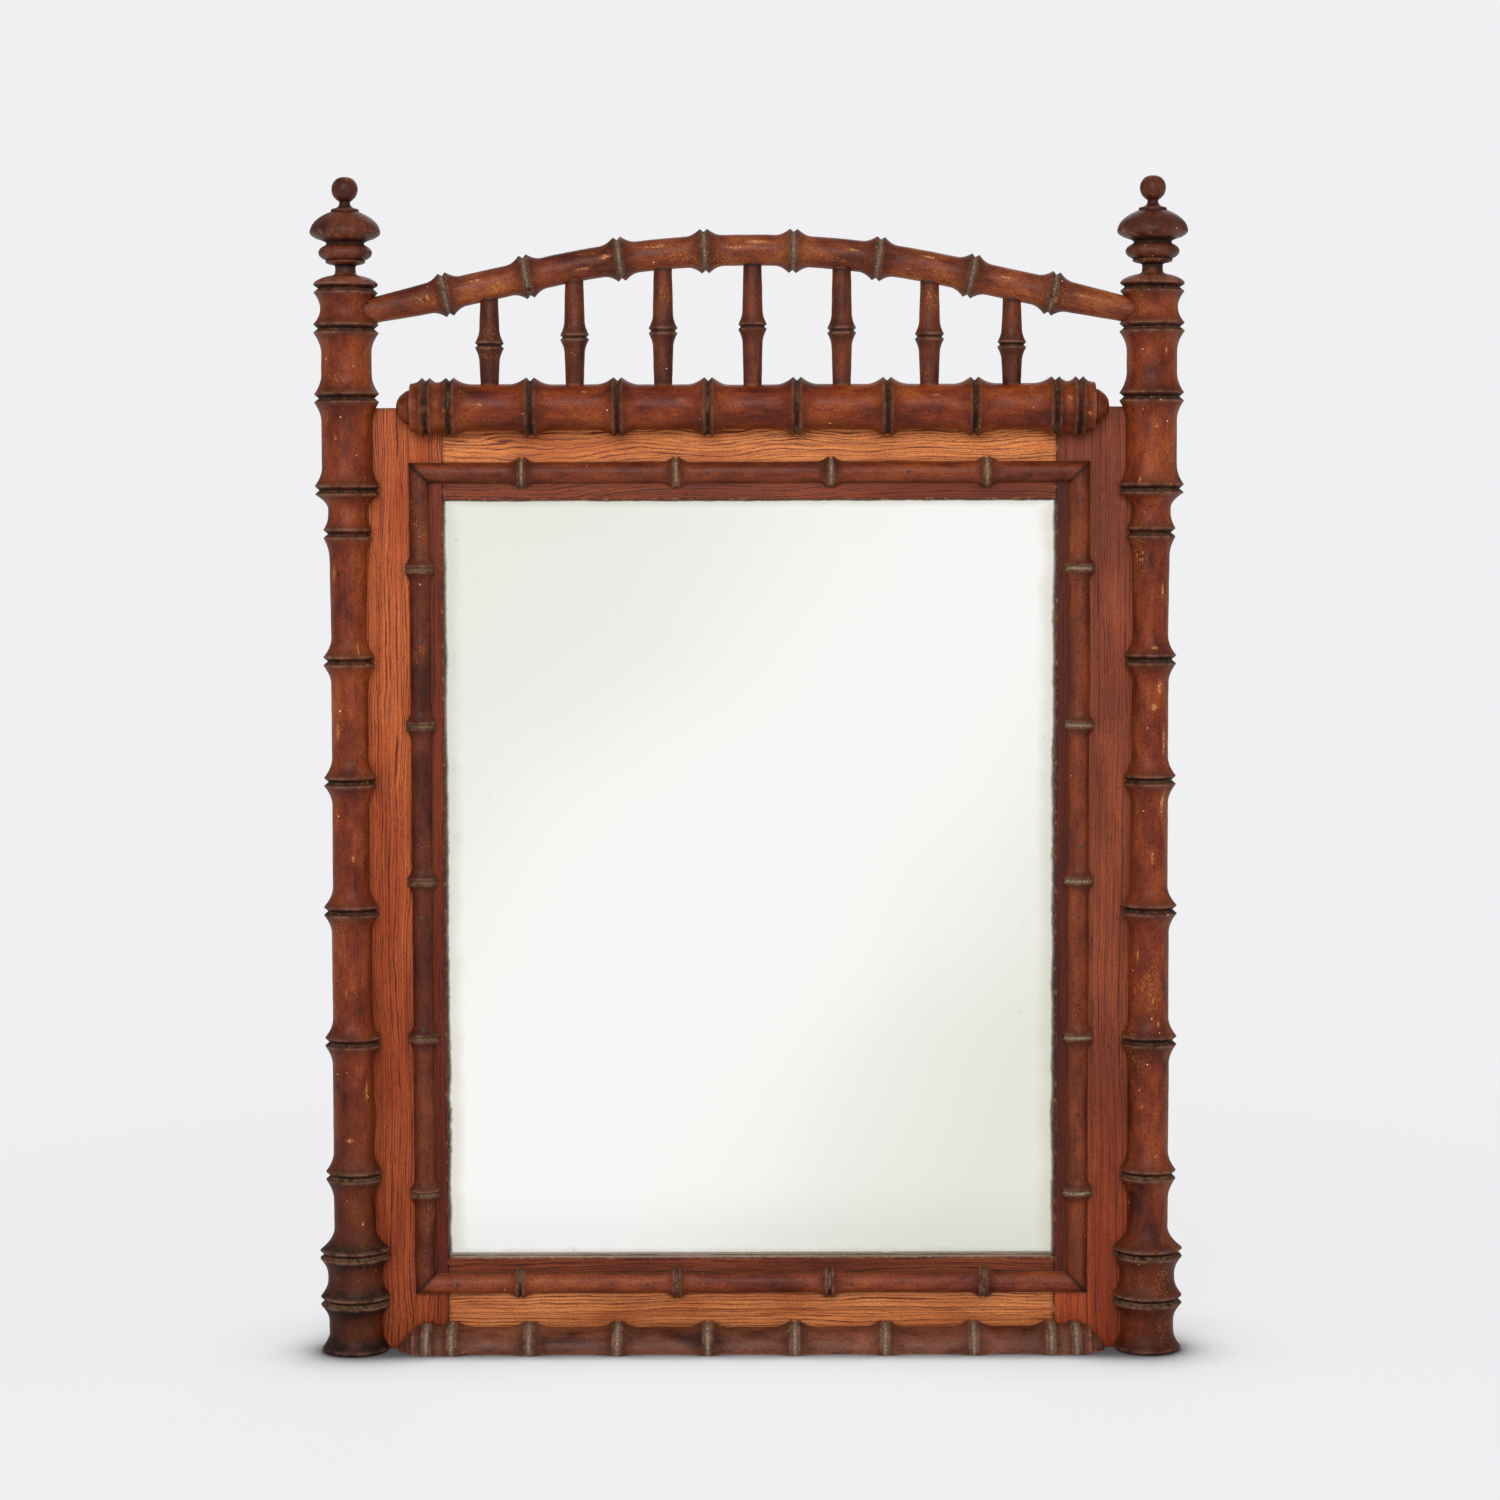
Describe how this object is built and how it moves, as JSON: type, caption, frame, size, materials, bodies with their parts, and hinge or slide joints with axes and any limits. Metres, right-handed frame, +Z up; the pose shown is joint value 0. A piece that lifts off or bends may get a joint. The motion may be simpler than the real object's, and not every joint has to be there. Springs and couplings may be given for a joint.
{
  "type": "faux bamboo mirror",
  "caption": "Wall mirror in a pine frame with turned faux bamboo posts, ball finials, an arched crest over a spindle gallery and mitred half-round mouldings round the glass.",
  "frame": {"origin": "middle of the footprint at the bottom edge", "axes": "+Z up, +Y out of the back, the glass faces -Y, +X to the viewer's right"},
  "size_m": [0.7843, 0.0748, 1.0608],
  "materials": {
    "pine_stile": "satin varnished pine",
    "pine_rail": "satin varnished pine",
    "bamboo_dark": "dark stained, satin varnish",
    "bamboo_crest": "dark stained, satin varnish",
    "moulding_wood": "dark stained, satin varnish",
    "mirror_plate": "silvered plate glass",
    "raw_pine": "aged, unfinished",
    "iron": "darkened iron",
    "brass": "tarnished brass"
  },
  "bodies": {
    "frame": {"backboard_bottom": "raw_pine", "backboard_middle": "raw_pine", "backboard_nails": "iron", "backboard_top": "raw_pine", "base_rail": "bamboo_dark", "crest_rail": "bamboo_crest", "finial_left": "bamboo_dark", "finial_right": "bamboo_dark", "gallery_rail": "bamboo_dark", "glazing_blocks": "raw_pine", "hanger_eye_left": "brass", "hanger_eye_right": "brass", "mirror_glass": "mirror_plate", "moulding_bottom": "moulding_wood", "moulding_left": "moulding_wood", "moulding_pins": "iron", "moulding_right": "moulding_wood", "moulding_top": "moulding_wood", "post_left": "bamboo_dark", "post_right": "bamboo_dark", "post_screws": "iron", "rail_bottom": "pine_rail", "rail_screws": "iron", "rail_top": "pine_rail", "spindle_1": "bamboo_crest", "spindle_2": "bamboo_crest", "spindle_3": "bamboo_crest", "spindle_4": "bamboo_crest", "spindle_5": "bamboo_crest", "spindle_6": "bamboo_crest", "spindle_7": "bamboo_crest", "stile_left": "pine_stile", "stile_right": "pine_stile"},
    "ring_left": {"hanger_ring_left": "brass"},
    "ring_right": {"hanger_ring_right": "brass"}
  },
  "joints": [
    {"name": "ring_left_swing", "type": "hinge", "parent": "frame", "child": "ring_left", "pos_m": [-0.331, 0.0328, 0.7], "axis": [1, 0, 0], "range_deg": [-12, 192]},
    {"name": "ring_right_swing", "type": "hinge", "parent": "frame", "child": "ring_right", "pos_m": [0.331, 0.0328, 0.7], "axis": [1, 0, 0], "range_deg": [-12, 192]}
  ]
}
